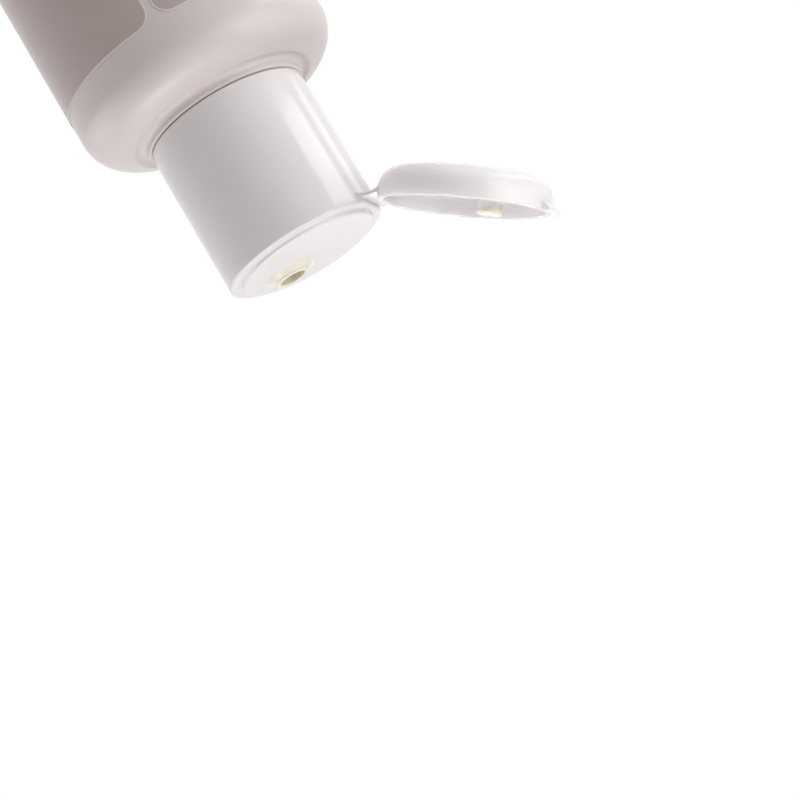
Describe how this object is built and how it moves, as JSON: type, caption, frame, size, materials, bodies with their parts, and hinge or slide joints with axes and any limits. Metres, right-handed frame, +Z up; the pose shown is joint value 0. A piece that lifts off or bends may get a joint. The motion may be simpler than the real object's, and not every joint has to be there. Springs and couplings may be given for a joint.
{
  "type": "flip-top facial cleanser bottle",
  "caption": "Round blow-moulded squeeze bottle of facial cleanser with film labels and a white press-on flip-top cap, its lid open on a short strap hinge",
  "frame": {"origin": "centre of the base, on the surface that the bottle stands on", "axes": "+Z runs up the bottle's axis from the base to the cap, -Y faces the front label, +Y faces the lid's hinge"},
  "size_m": [0.0488, 0.0659, 0.1587],
  "materials": {
    "bottle_plastic": "satin white polyethylene",
    "label_film": "soft matt film, bare",
    "cleanser_cream": "pale yellow cream",
    "cap_plastic": "gloss white polypropylene"
  },
  "bodies": {
    "bottle": {"bottle": "bottle_plastic", "front_label": "label_film", "back_label": "label_film", "cleanser": "cleanser_cream", "cap": "cap_plastic"},
    "strap": {"hinge_strap": "cap_plastic"},
    "lid": {"lid": "cap_plastic"}
  },
  "joints": [
    {"name": "strap_hinge", "type": "hinge", "parent": "bottle", "child": "strap", "pos_m": [0, 0.0145, 0.13875], "axis": [1, 0, 0], "range_deg": [0, 71.5]},
    {"name": "lid_hinge", "type": "hinge", "parent": "strap", "child": "lid", "pos_m": [0, 0.01649, 0.13942], "axis": [1, 0, 0], "range_deg": [0, 71.5]}
  ],
  "couplings": [
    {"joint": "strap_hinge", "follows": "lid_hinge", "ratio": 1}
  ]
}
